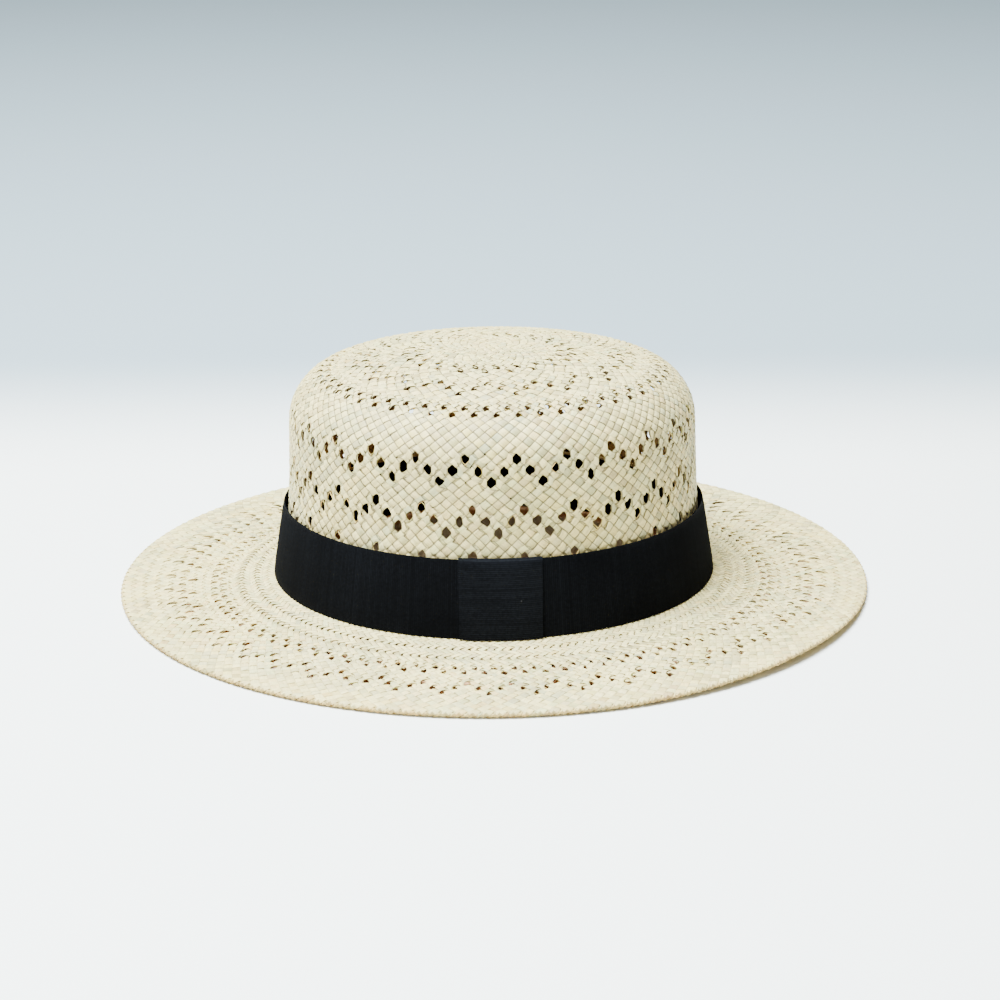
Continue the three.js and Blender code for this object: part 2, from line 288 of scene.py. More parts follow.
class Weave:
    def __init__(self, profile, strands, zeroS, phase, liftFn=None, relief=None, shadedBelow=-1.0,
                 lowAspect=None, climb=None, edge=1.0):
        self.profile, self.strands, self.phase, self.liftFn = profile, strands, phase, liftFn
        self.relief = relief or np.ones_like  # share of the full rise, by length along the profile
        self.shadedBelow = shadedBelow  # length up to which the weave is painted with the brown underside shade
        self.climb = climb or (lambda s, theta: 0)  # how far the rows run off the level
        # edge is the strength of the painted shade at the strips' edges and dives
        self.edge = edge
        meanRadius = np.maximum(profile.r + stretchAt(profile.r) / 2, 0.5)
        self.spacingTable = 2 * math.pi * meanRadius / strands
        aspect = np.where(profile.s < zeroS, lowAspect or strip["aspect"], strip["aspect"])
        self.rowHeightTable = 0.5 * aspect * self.spacingTable
        steps = np.gradient(profile.s) / self.rowHeightTable
        row = np.cumsum(steps) - steps / 2
        self.rowTable = row - np.interp(zeroS, profile.s, row)
        self.holes = []
        self.bends = set()

    def rowAt(self, s):
        return float(np.interp(s, self.profile.s, self.rowTable))

    def sAt(self, row):
        return np.interp(row, self.rowTable, self.profile.s)

    def spacing(self, row):
        return np.interp(row, self.rowTable, self.spacingTable)

    def thetaAt(self, u):
        return front + self.phase + u * 2 * math.pi / self.strands

    def addHole(self, u, row, size, spread, chance):
        # size is the half width and half height; the four strips round it give way by their own amounts
        high = size[1] / (2 * float(np.interp(row, self.rowTable, self.rowHeightTable)))
        wide = size[0] / float(self.spacing(row))
        give = np.clip(rng.standard_normal(5), -1.8, 1.8)
        self.holes.append({
            "u": u,
            "row": row,
            "high": high * (1 + spread * give[:4]).reshape(2, 2),
            "wide": wide * (1 + spread * give[4]),
            "split": rng.random() < chance,
        })
        return high, wide

    def addRing(self, firstRow, pattern, size, spread=0.14, chance=0.35, fine=3):
        # one eyelet on every strand, at the row that the repeating pattern gives
        for k in range(self.strands):
            row = firstRow + pattern[k % len(pattern)]
            high, wide = self.addHole(k + 0.5 * (row % 2 == 0), row, size, spread, chance)
            for bend in (0.5 + high - 2 * wide, 0.5 + high, 0.5 - 2 * wide)[:fine]:
                self.bends.update((round(row + bend, 3), round(row - bend, 3)))

    def addPinholes(self, count, rowStart, rowEnd, size):
        # a few corners where the strips don't quite meet
        for _ in range(count):
            row = int(rng.integers(rowStart, rowEnd))
            half = size * rng.uniform(0.5, 1.2)
            u = int(rng.integers(self.strands)) + 0.5 * (row % 2 == 0)
            self.addHole(u, row, (half, half), spread=0.3, chance=0)

    def openHoles(self, family, u, row, share):
        # strips beside an eyelet give way sideways, so that they run round a six-sided opening
        moved = np.zeros_like(u)
        reach = 4.2  # rows and half strands
        for hole in self.holes:
            near = np.nonzero(np.abs(row - hole["row"]) < reach)
            du = u[near] - hole["u"]
            du = 2 * (du - self.strands * np.round(du / self.strands))
            close = np.abs(du) < reach
            index = tuple(n[close] for n in near)
            du, dRow = du[close], row[index] - hole["row"]
            across, along = 0.5 * (du + family * dRow), 0.5 * (dRow - family * du)
            side = np.sign(across)
            low, up = hole["high"][(family + 1) // 2]
            high = np.where(side > 0, up, low)
            toPoint = family * along * side  # toward the upper or lower point of the opening
            give = np.clip(2 * hole["wide"] + toPoint, 0, high) * (1 - ease((toPoint - high) / 0.9))
            moved[index] += side * give * np.clip(1 - np.abs(across) / 2.2, 0, 1) ** 1.2
        moved = moved * share
        return u + moved / 2, row + family * moved

    def woven(self, family, across, line, number, height, tone, side, fold, share=1.0):
        # strips given by where they run on the lattice, as points on the hat
        u, row = np.broadcast_arrays(number + (across - family * line) / 2, line + family * across)
        pitchMm = float(np.mean(self.spacing(row))) / math.sqrt(2)
        u, row = self.openHoles(family, u, row, share)
        s, theta = self.sAt(row), self.thetaAt(u)
        s = s + self.climb(s, theta)
        verts = self.profile.at(s, theta, (height + sectionLayer()) * self.relief(s), self.liftFn)
        # the turned hem is painted with the brown underside shade
        tone[s < self.shadedBelow, :3] *= strip["undersideShade"]
        return stripSet(verts, tone, line * pitchMm, side, number, fold)

    def strips(self, family, rowStart, rowEnd, over, startTuck=0.0):
        # family +1 leans one way and -1 the other; over(row) is true where family +1 lies on top
        rows = np.arange(math.floor(rowStart), math.ceil(rowEnd) + 1)
        signs = np.where(over(rows), 1.0, -1.0) * family
        overHalf = strip["overHalf"]
        along = np.concatenate([rows - overHalf, rows + overHalf, sorted(self.bends)])
        along = np.unique(along[(along > rowStart + 0.04) & (along < rowEnd - 0.04)])
        along = along[np.diff(along, prepend=along[0] - 1) > 0.035]
        along = np.concatenate([[rowStart], along, [rowEnd]])
        turns = np.stack([rows - overHalf, rows + overHalf], 1).ravel()
        level = np.interp(along, turns, np.repeat(signs, 2))
        # rows where the strip dives under the other family, read by the painted shade along those lines
        dives = rows[:-1][np.diff(signs) != 0] + 0.5
        dives = np.concatenate([[dives[0] - 1], dives, [dives[-1] + 1]])
        fold = np.interp(along, dives, np.arange(len(dives)) + 0.5)[None, :, None]
        height = level * strip["rise"] - startTuck * (1 - ease((along - rowStart) / 1.2))
        count, samples = self.strands, len(along)
        wander = rng.standard_normal((count, samples)) * strip["wobble"]
        wide = 1 + 0.035 * rng.standard_normal((count, 1)) + 0.02 * rng.standard_normal((count, samples))
        wide = np.minimum(strip["share"] * wide, 1.03)
        across = np.clip(sectionSide * wide[:, :, None] + wander[:, :, None], -0.492, 0.492)
        height = (height * (1 + 0.12 * rng.standard_normal((count, samples))))[:, :, None]
        return self.woven(family, across, along[None, :, None], np.arange(count)[:, None, None], height,
                          stripTones(count, samples, self.edge), sectionSide, fold)

    def splits(self, family):
        # thin split edges of straw that run along one side of some eyelets
        chosen = [hole for hole in self.holes if hole["split"]]
        count, samples = len(chosen), 9
        u0 = np.array([hole["u"] for hole in chosen])[:, None, None]
        row0 = np.array([hole["row"] for hole in chosen])[:, None, None]
        side = rng.choice((-1.0, 1.0), (count, 1, 1))
        along = np.linspace(-1, 1, samples)[None, :, None] * rng.uniform(0.75, 1.15, (count, 1, 1))
        fromMiddle = side * rng.uniform(0.10, 0.16, (count, 1, 1))
        across = fromMiddle + rng.uniform(0.07, 0.15, (count, 1, 1)) * sectionSide
        tone = stripTones(count, samples, self.edge)
        tone[..., :3] *= np.array((1.0, 0.9, 0.72)) + 0.06 * rng.standard_normal((count, 1, 1, 3))
        arch = 0.45 - 1.5 * np.abs(np.linspace(-1, 1, samples)) ** 1.5
        height = strip["rise"] * arch[None, :, None]
        line, number = row0 + along, u0 + family * row0 / 2
        return self.woven(family, across, line, number, height, tone, sectionSide, 0.0,
                          rng.uniform(0.55, 0.8, (count, 1, 1)))


def stack(parts):
    # several sets of strips as one set
    starts = np.cumsum([0] + [len(part["verts"]) for part in parts[:-1]])
    out = {key: np.concatenate([part[key] for part in parts]) for key in parts[0]}
    for key in ("quads", "caps"):
        out[key] = np.concatenate([part[key] + start for part, start in zip(parts, starts)])
    return out


def strawPiece(name, part, node):
    addPiece(joinedMesh(name, **part), straw, node)
    print("woven", name, len(part["quads"]) * 2 + len(part["caps"]) * 3, "triangles")


def plainWeave(rows):
    return rows % 2 == 0


# shader helpers and node groups

def newGroup(name, inputs, outputs):
    group = bpy.data.node_groups.new(name, "ShaderNodeTree")
    for label, kind, value in inputs:
        socket = group.interface.new_socket(label, in_out="INPUT", socket_type=kind)
        socket.default_value = value
    for label, kind in outputs:
        group.interface.new_socket(label, in_out="OUTPUT", socket_type=kind)
    start = group.nodes.new("NodeGroupInput")
    end = group.nodes.new("NodeGroupOutput")
    return group, start, end


def addNode(tree, kind, values=None, **settings):
    # each value is a plain one, or a socket to link from
    node = tree.nodes.new(kind)
    for key, value in settings.items():
        setattr(node, key, value)
    for key, value in (values or {}).items():
        if isinstance(value, bpy.types.NodeSocket):
            tree.links.new(value, node.inputs[key])
        else:
            node.inputs[key].default_value = value
    return node


def mathNode(tree, operation, *values):
    return addNode(tree, "ShaderNodeMath", dict(enumerate(values)), operation=operation).outputs[0]


def vectorMath(tree, operation, values, output=0):
    return addNode(tree, "ShaderNodeVectorMath", values, operation=operation).outputs[output]


def mapRange(tree, value, fromMin, fromMax, toMin=0.0, toMax=1.0, **settings):
    limits = {"From Min": fromMin, "From Max": fromMax, "To Min": toMin, "To Max": toMax}
    return addNode(tree, "ShaderNodeMapRange", {"Value": value} | limits, **settings).outputs[0]


def mixColours(tree, factor, first, second, blend="MIX"):
    sockets = {0: factor, 6: first, 7: second}
    return addNode(tree, "ShaderNodeMix", sockets, data_type="RGBA", blend_type=blend).outputs[2]


def attribute(tree, label):
    return addNode(tree, "ShaderNodeAttribute", attribute_name=label).outputs


def noise(tree, place, scale, **values):
    sockets = {"Vector": place, "Scale": scale} | values
    return addNode(tree, "ShaderNodeTexNoise", sockets).outputs["Fac"]


def linkAll(tree, node, sources):
    for label, socket in sources.items():
        tree.links.new(socket, node.inputs[label])


def strawGrainGroup():
    group, start, end = newGroup(
        "strawGrain",
        [
            ("Straw", "NodeSocketColor", (0.7, 0.66, 0.5, 1)),
            ("Streak", "NodeSocketFloat", 0.2),
            ("EdgeShade", "NodeSocketFloat", 0.2),
        ],
        [
            ("Color", "NodeSocketColor"),
            ("Roughness", "NodeSocketFloat"),
            ("Height", "NodeSocketFloat"),
        ])
    coord, tone = attribute(group, "stripCoord")["Vector"], attribute(group, "stripTone")
    fine = vectorMath(group, "MULTIPLY", {0: coord, 1: (0.35, 9.0, 3.1)})
    broad = vectorMath(group, "MULTIPLY", {0: coord, 1: (0.16, 1.2, 5.7)})
    grain = noise(group, fine, 1.0, Detail=4.0, Roughness=0.62)
    patch = noise(group, broad, 1.0, Detail=2.0)
    shade = mapRange(group, grain, 0.3, 0.7, -0.5, 0.5)
    patchShade = mapRange(group, patch, 0.3, 0.7, -0.3, 0.3)
    streaks = mathNode(group, "ADD", shade, patchShade)
    light = mathNode(group, "MULTIPLY_ADD", streaks, start.outputs["Streak"], 1.0)
    # painted shade: the edges of a strip are a little darker than its middle
    sideways = addNode(group, "ShaderNodeSeparateXYZ", {0: coord}).outputs["Y"]
    rim = mapRange(group, mathNode(group, "ABSOLUTE", sideways), 0.84, 1.0)
    # and painted shade along the line where it goes under the next one
    fold = attribute(group, "stripFold")["Fac"]
    toDive = mathNode(group, "SUBTRACT", mathNode(group, "FRACT", fold), 0.5)
    dive = mapRange(group, mathNode(group, "ABSOLUTE", toDive), 0.0, 0.1, 1.0, 0.0)
    rimShare = mathNode(group, "MULTIPLY", mathNode(group, "MAXIMUM", rim, dive), tone["Alpha"])
    paintedShade = mathNode(group, "MULTIPLY", rimShare, start.outputs["EdgeShade"])
    tinted = mixColours(group, 1.0, start.outputs["Straw"], tone["Color"], "MULTIPLY")
    shaded = vectorMath(group, "SCALE", {0: tinted, "Scale": mathNode(group, "SUBTRACT", light, paintedShade)})
    rough = mapRange(group, grain, 0.3, 0.7, 0.44, 0.66)
    linkAll(group, end, {"Color": shaded, "Roughness": rough, "Height": grain})
    return group


def clothThreadGroup():
    group, start, end = newGroup(
        "clothThread",
        [
            ("Cloth", "NodeSocketColor", (0.01, 0.01, 0.01, 1)),
            ("CrestHighlight", "NodeSocketColor", (0.02, 0.02, 0.02, 1)),
            ("Scale", "NodeSocketFloat", 900.0),
            ("Lint", "NodeSocketFloat", 0.3),
        ],
        [("Color", "NodeSocketColor"), ("Height", "NodeSocketFloat")])
    given = start.outputs
    place = addNode(group, "ShaderNodeTexCoord").outputs["Object"]
    thread = noise(group, place, given["Scale"], Detail=3.0)
    highlightPatch = noise(group, place, 28.0, Detail=3.0)
    spread = mapRange(group, mathNode(group, "MULTIPLY", thread, highlightPatch), 0.1, 0.36)
    # the second colour is a painted highlight, strongest on the ribs' crests and varying in patches
    crest = mathNode(group, "MULTIPLY", spread, attribute(group, "ribShade")["Fac"])
    cloth = mixColours(group, crest, given["Cloth"], given["CrestHighlight"])
    # a few pale specks of lint
    specks = addNode(group, "ShaderNodeTexVoronoi", {"Vector": place, "Scale": 170.0, "Randomness": 1.0})
    dot = mapRange(group, specks.outputs["Distance"], 0.03, 0.07, 1.0, 0.0)
    chance = addNode(group, "ShaderNodeSeparateColor", {0: specks.outputs["Color"]}).outputs[0]
    lint = mathNode(group, "MULTIPLY", dot, mathNode(group, "GREATER_THAN", chance, 0.93))
    strength = mathNode(group, "MULTIPLY", lint, given["Lint"])
    dusty = mixColours(group, strength, cloth, (0.12, 0.12, 0.13, 1))
    linkAll(group, end, {"Color": dusty, "Height": thread})
    return group


def material(name, base=(0.5, 0.5, 0.5), roughness=0.6):
    mat = bpy.data.materials.new(name)
    mat.use_nodes = True
    shader = mat.node_tree.nodes["Principled BSDF"]
    shader.inputs["Base Color"].default_value = (*base, 1)
    shader.inputs["Roughness"].default_value = roughness
    return mat, mat.node_tree, shader


def bumpNormal(tree, height, strength):
    sockets = {"Strength": strength, "Distance": 0.0002, "Height": height}
    return addNode(tree, "ShaderNodeBump", sockets).outputs["Normal"]


def strawMaterial(name, look, grainGroup):
    mat, tree, shader = material(name)
    sockets = {"Straw": (*look["colour"], 1), "Streak": look["streak"], "EdgeShade": look["edge"]}
    grain = addNode(tree, "ShaderNodeGroup", sockets, node_tree=grainGroup).outputs
    linkAll(tree, shader, {
        "Base Color": grain["Color"],
        "Roughness": grain["Roughness"],
        "Normal": bumpNormal(tree, grain["Height"], look["bump"]),
    })
    shader.inputs["Specular IOR Level"].default_value = look["gloss"]
    shader.inputs["Sheen Weight"].default_value = look["sheen"]
    shader.inputs["Sheen Roughness"].default_value = look["sheenRoughness"]
    return mat


def clothMaterial(name, look, threadGroup):
    mat, tree, shader = material(name, roughness=look["roughness"])
    sockets = {"Cloth": (*look["colour"], 1), "CrestHighlight": (*look["crestHighlight"], 1),
               "Scale": look["scale"], "Lint": look["lint"]}
    thread = addNode(tree, "ShaderNodeGroup", sockets, node_tree=threadGroup).outputs
    linkAll(tree, shader, {
        "Base Color": thread["Color"],
        "Normal": bumpNormal(tree, thread["Height"], look["bump"]),
    })
    shader.inputs["Sheen Weight"].default_value = look["sheen"]
    shader.inputs["Specular IOR Level"].default_value = look["gloss"]
    return mat


# camera at the photograph's angle
view = {
    "place": (3.1, -1072.6, 414.2),
    "pitch": 19.36,
    "roll": -0.57,
    "focalPixels": 2530,
    "imageSide": 1000,
    "sensor": 36.0,
}


def addCamera():
    pitch, roll = math.radians(view["pitch"]), math.radians(view["roll"])
    right, up = Vector((1, 0, 0)), Vector((0, math.sin(pitch), math.cos(pitch)))
    ahead = Vector((0, math.cos(pitch), -math.sin(pitch)))
    turnedRight = right * math.cos(roll) + up * math.sin(roll)
    turnedUp = up * math.cos(roll) - right * math.sin(roll)
    data = bpy.data.cameras.new("photoCamera")
    data.sensor_width = view["sensor"]
    data.lens = view["focalPixels"] / view["imageSide"] * view["sensor"]
    data.clip_start, data.clip_end = 0.01, 50
    camera = bpy.data.objects.new("photoCamera", data)
    axes = Matrix((turnedRight, turnedUp, -ahead)).transposed().to_4x4()
    camera.matrix_world = Matrix.Translation(Vector(view["place"]) * mm) @ axes
    bpy.context.scene.collection.objects.link(camera)
    bpy.context.scene.camera = camera


addCamera()
print("camera placed")

strawLook = {
    "colour": (0.585, 0.497, 0.212),
    "streak": 0.4,
    # edge: strength of the painted shade at the strips' edges and dives
    "edge": 0.74,
    "bump": 0.5,
    "gloss": 0.4,
    "sheen": 0.06,
    "sheenRoughness": 0.4,
}
straw = strawMaterial("cream_straw", strawLook, strawGrainGroup())

# crown wall and shoulder: plain weave with zigzag rows of eyelets
crownWeave = {
    "strands": 104,
    "zeroZ": 51.3,  # valley of the middle zigzag
    "peakMm": 13.3,  # its peak nearest the tab, along the wall
    "lowAspect": 1.08,
    "climb": 2.2,  # how much higher the rows run at the ends of the oval
    "levelAbove": 84.0,  # they come level again from this height
    "levelBelowTop": 6.0,  # up to this far below the end of the wall's strips
    "bottomZ": 33.0,
    "topHalfWidth": 55.6,
    "eyelet": (1.7, 2.5),
    "zigzag": (4, 2, 0, 2),
    "zigzagRows": (-8, 0, 9),
    "ringHalfWidth": 67.4,
    "ring": (0, 2),
    "ringEyelet": (1.35, 1.75),
    "pinholes": 170,
    "pinhole": 0.38,
}


def crownWallWeave():
    profile = crownProfile(crownForm["strawDepth"])
    halfLength = float(wallHalfWidth(crownWeave["zeroZ"]) + oval["headStretch"])
    stepAngle = 2 * math.pi / crownWeave["strands"]
    phase = crownWeave["peakMm"] / halfLength - 0.5 * stepAngle
    topS = profile.where("r", crownWeave["topHalfWidth"])
    climbS = profile.where("z", crownWeave["levelAbove"])
    levelOver = topS - crownWeave["levelBelowTop"] - climbS

    def climb(s, theta):
        return crownWeave["climb"] * np.cos(theta) ** 2 * (1 - ease((s - climbS) / levelOver))

    weave = Weave(profile, crownWeave["strands"], profile.where("z", crownWeave["zeroZ"]), phase,
                  lowAspect=crownWeave["lowAspect"], climb=climb)
    for firstRow in crownWeave["zigzagRows"]:
        weave.addRing(firstRow, crownWeave["zigzag"], crownWeave["eyelet"])
    ringRow = round(weave.rowAt(profile.where("r", crownWeave["ringHalfWidth"])))
    weave.addRing(ringRow, crownWeave["ring"], crownWeave["ringEyelet"])
    first, last = weave.rowAt(profile.where("z", crownWeave["bottomZ"])), weave.rowAt(topS)
    weave.addPinholes(crownWeave["pinholes"], first + 2, last - 2, crownWeave["pinhole"])
    families = ((1, "crown_strips_rising", last), (-1, "crown_strips_falling", last - 0.5))
    for family, name, end in families:
        strips = weave.strips(family, first, end, plainWeave)
        strawPiece(name, stack([strips, weave.splits(family)]), "crown")
    return profile


# crown top: zones of fewer strands toward the middle
# a zone's rings of eyelets are given by half width, pattern of rows, and half size of an eyelet
topZones = [
    {"strands": 64, "outer": 57.2, "inner": 36.6, "rings": ((47.7, (4, 2, 0, 2), (1.3, 1.8)),)},
    {"strands": 42, "outer": 37.6, "inner": 18.4, "rings": ((26.4, (0, 2), (1.2, 1.7)),)},
    {"strands": 26, "outer": 19.4, "inner": 10.2, "rings": ()},
    {"strands": 14, "outer": 11.2, "inner": 4.8, "rings": ()},
]
topSeam = {"firstRow": -0.9, "tuck": 0.42, "reach": 0.5}


def crownTopParts(profile):
    parts = []
    for zone in topZones:
        weave = Weave(profile, zone["strands"], profile.where("r", zone["outer"]), rng.uniform(0, 1))
        for halfWidth, pattern, size in zone["rings"]:
            middle = round(weave.rowAt(profile.where("r", halfWidth)))
            weave.addRing(middle - max(pattern) // 2, pattern, size)
        last = weave.rowAt(profile.where("r", zone["inner"]))
        for family in (1, -1):
            end = last if family > 0 else last - topSeam["reach"]
            first = topSeam["firstRow"]
            parts.append(weave.strips(family, first, end, plainWeave, startTuck=topSeam["tuck"]))
            if zone["rings"]:
                parts.append(weave.splits(family))
    return parts


crownLine = crownWallWeave()
strawPiece("crown_top_strips", stack(crownTopParts(crownLine)), "crown")

# brim: herringbone near the head, then plain weave with two rings of eyelets and a turned hem
brimWeave = {
    "strands": 196,
    "zeroOffset": 45.0,  # middle of the zigzag ring, outward from the head line
    "peakMm": -4.4,
    "herringboneTo": 20.0,
    "zigzag": (0, 2, 4, 2),
    "zigzagEyelet": (1.1, 1.9),
    "ringOffset": 28.4,
    "ring": (0, 2),
    "ringEyelet": (1.1, 1.75),
    "eyeletSpread": 0.2,
    "splitChance": 0.55,
    "smallRingOffsets": (10.5, 18.0),
    "smallEyelet": (0.5, 0.9),
    "smallSpread": 0.35,
    "pinholes": 120,
    "pinhole": 0.3,
    "relief": 0.8,
    "hemRelief": 0.55,
    "hemOffset": 57.0,  # where the relief changes
    "hemSeamOffset": 57.2,  # where the hem's own strips start
    "shadeIn": 0.4,  # the painted underside shade of the turned face starts this far in from the edge
    "shadeShort": 0.3,
    "edgeShade": 0.38,  # strength of the painted shade at the strips' edges and dives
    "herringboneEdgeShade": 0.5,
    "hemEdgeShade": 0.22,
    "forward": 11.0,  # how much nearer to the head the rings run at the back
    # share of that by the distance from the head line
    "forwardShare": ((57.0, 0.0), (45.0, 0.8), (34.0, 1.0), (28.0, 1.0)),
}


def brimStraw():
    profile = brimProfile()
    head = oval["headHalfWidth"]
    edgeFrom = float(profile.s[np.argmax(profile.r)])

    def sAtOffset(offset):
        return profile.where("r", head + offset, edgeFrom)

    ringRadius = head + brimWeave["zeroOffset"]
    phase = brimWeave["peakMm"] / float(ringRadius + stretchAt(ringRadius))
    hemS = sAtOffset(brimWeave["hemOffset"])
    shadedBelow = sAtOffset(brimForm["edgeOffset"] - brimWeave["shadeIn"]) - brimWeave["shadeShort"]
    hemRelief, topRelief = brimWeave["hemRelief"], brimWeave["relief"]

    def relief(s):
        return hemRelief + (topRelief - hemRelief) * ease((s - hemS + 1.0) / 2.0)

    shareS = [sAtOffset(offset) for offset, _ in brimWeave["forwardShare"]] + [profile.s[-1]]
    shares = [share for _, share in brimWeave["forwardShare"]] + [0.0]

    def climb(s, theta):
        return brimWeave["forward"] * ease((1 + np.sin(theta)) / 2) * np.interp(s, shareS, shares)

    weave = Weave(profile, brimWeave["strands"], sAtOffset(brimWeave["zeroOffset"]), phase, brimLiftAt,
                  relief, shadedBelow, climb=climb, edge=brimWeave["edgeShade"])
    ringRow = round(weave.rowAt(sAtOffset(brimWeave["ringOffset"])))
    spread, chance = brimWeave["eyeletSpread"], brimWeave["splitChance"]
    weave.addRing(-2, brimWeave["zigzag"], brimWeave["zigzagEyelet"], spread, chance)
    weave.addRing(ringRow - 1, brimWeave["ring"], brimWeave["ringEyelet"], spread, chance)
    for offset in brimWeave["smallRingOffsets"]:
        smallRow = round(weave.rowAt(sAtOffset(offset)))
        weave.addRing(smallRow, (0,), brimWeave["smallEyelet"], brimWeave["smallSpread"], chance=0, fine=1)
    herringboneRow = round(weave.rowAt(sAtOffset(brimWeave["herringboneTo"])))

    def over(rows):
        return np.where(rows >= herringboneRow, (rows - herringboneRow) % 4 < 2, rows % 2 == 0)

    hemRow = round(weave.rowAt(sAtOffset(brimWeave["hemSeamOffset"]))) + 0.5
    innerRow = herringboneRow + 0.5
    lastRow = weave.rowAt(profile.s[-1])
    firstRow = weave.rowAt(0.0)
    weave.addPinholes(brimWeave["pinholes"], hemRow, innerRow, brimWeave["pinhole"])
    for family, name in ((1, "brim_strips_rising"), (-1, "brim_strips_falling")):
        strips = weave.strips(family, hemRow, innerRow, over)
        strawPiece(name, stack([strips, weave.splits(family)]), "brim")
    zones = (("brim_herringbone", innerRow, lastRow, brimWeave["herringboneEdgeShade"]),
             ("brim_hem_strips", firstRow, hemRow, brimWeave["hemEdgeShade"]))
    for name, start, end, edge in zones:
        weave.edge = edge
        strips = [weave.strips(family, start, end, over) for family in (1, -1)]
        strawPiece(name, stack(strips), "brim")


brimStraw()

# hidden foot of the crown, between the ribbon and the sweatband
crownFoot = {
    "bottomZ": 6.2,
    "topZ": 35.0,
    "depth": 0.35,
    "thickness": 0.5,
    "tuck": 0.55,  # its upper edge goes inside the weave
    "tuckFromZ": 30,
    "tuckOver": 4,
    "columns": 208,
    "rows": 14,
}


clothSharp = math.radians(60)


def ringPiece(name, outer, inner, **layers):
    # a closed ring whose section is given by outer and inner (column, row) point arrays
    section = np.concatenate([outer, inner[:, ::-1]], axis=1)
    count, size = section.shape[:2]
    column = np.arange(count)[:, None]
    place = np.arange(size)[None, :]
    nextColumn, nextPlace = (column + 1) % count, (place + 1) % size
    quads = np.stack([column * size + place, nextColumn * size + place,
                      nextColumn * size + nextPlace, column * size + nextPlace], -1)
    layers = {label: np.broadcast_to(values, section.shape[:2] + values.shape[2:])
              for label, values in layers.items()}
    return joinedMesh(name, section, quads, sharp=clothSharp, **layers)


def ovalPoints(halfWidth, theta, z):
    halfLength = halfWidth + stretchAt(halfWidth)
    return np.stack(np.broadcast_arrays(halfLength * np.cos(theta), halfWidth * np.sin(theta), z), -1)


def addCrownFoot():
    theta = np.linspace(0, 2 * math.pi, crownFoot["columns"], endpoint=False)[:, None]
    z = np.linspace(crownFoot["bottomZ"], crownFoot["topZ"], crownFoot["rows"])[None, :]
    tuck = crownFoot["tuck"] * ease((z - crownFoot["tuckFromZ"]) / crownFoot["tuckOver"])
    outside = wallHalfWidth(z) - crownFoot["depth"] - tuck
    outer = ovalPoints(outside, theta, z)
    inner = ovalPoints(outside - crownFoot["thickness"], theta, z)
    coord = np.concatenate([outer, inner[:, ::-1]], axis=1) * (1, 0, 1)
    piece = ringPiece("crown_foot", outer, inner, stripTone=np.ones((1, 1, 4)), stripCoord=coord)
    addPiece(piece, straw, "crown")
    print("crown foot", crownFoot["columns"], "columns")


addCrownFoot()

# the middle of the top: a small square mat that covers the strips' ends
centreMat = {
    "strips": 5,
    "pitch": 2.7,
    "reach": 7.4,
    "lift": 0.16,
    "endDip": 0.25,
    "turn": math.radians(22),
    "domeAt": 20.0,  # half width at which the dome's fall is read
}


def centreMatParts(profile):
    parts = []
    count = centreMat["strips"]
    lines = np.arange(count) - (count - 1) / 2
    pitch, domeAt, turn = centreMat["pitch"], centreMat["domeAt"], centreMat["turn"]
    end = centreMat["reach"] / pitch
    along = np.sort(np.concatenate([lines - strip["overHalf"], lines + strip["overHalf"], [-end, end]]))
    side = sectionSide * strip["share"]
    apex = float(profile.z[-1])
    fall = apex - float(np.interp(domeAt, profile.r[::-1], profile.z[::-1]))
    for direction in (0, 1):
        crossing = np.arange(count)[:, None] + np.arange(count) + direction
        rises = np.repeat(np.where(crossing % 2 == 0, 1.0, -1.0), 2, axis=1) * strip["rise"]
        height = np.pad(rises, ((0, 0), (1, 1)), constant_values=-centreMat["endDip"])
        a = np.broadcast_to(along[None, :, None], (count, len(along), 5)) * pitch
        b = np.broadcast_to(lines[:, None, None] + side, a.shape) * pitch
        x, y = (a, -b) if direction == 0 else (b, a)
        px = x * math.cos(turn) - y * math.sin(turn)
        py = x * math.sin(turn) + y * math.cos(turn)
        dome = apex - fall * (px ** 2 + py ** 2) / domeAt ** 2
        pz = dome + centreMat["lift"] + height[:, :, None] + sectionLayer()
        # full painted shade at the strips' edges and dives
        tone = stripTones(count, len(along), 1.0)
        parts.append(stripSet(np.stack([px, py, pz], -1), tone, a, sectionSide,
                              np.arange(count)[:, None, None], along[None, :, None] + 10.0))
    return parts


strawPiece("crown_centre_mat", stack(centreMatParts(crownLine)), "crown")

# ribbon band: a ribbed ribbon drawn straight from the flare at the foot to its upper edge
ribbonBand = {
    "bottomZ": 6.95,
    "topZ": 40.4,
    "nearWall": 0.5,
    "topStandoff": 1.4,
    "hugBehind": 1.25,  # how much of that is missing behind
    "hugFrom": -0.1,  # where that begins, as the sine of the angle round the oval
    "hugOver": 0.35,
    "slack": (0.16, 0.08),  # how far its upper edge waves
    "thickness": 0.6,
    "edgeThin": 0.35,  # share that is missing at its edges, where the ribs end too
    "seat": 0.9,  # room that the ribbon has
    "ribPitch": 0.8,
    "ribHeight": 0.1,
    "rows": 9,
}


def bandInner(z):
    ends = ribbonBand["bottomZ"], ribbonBand["topZ"]
    low, high = (wallHalfWidth(end) + ribbonBand["nearWall"] for end in ends)
    return np.interp(z, ends, (low, high + ribbonBand["topStandoff"]))


def ribShades(count):
    # painted highlight on the crests and painted shade in the grooves, and no two ribs are quite alike
    crest = np.where(np.arange(count) % 2 == 0, 1.0, 0.12)
    return crest * np.clip(1 + 0.22 * rng.standard_normal(count), 0.3, 1.8)


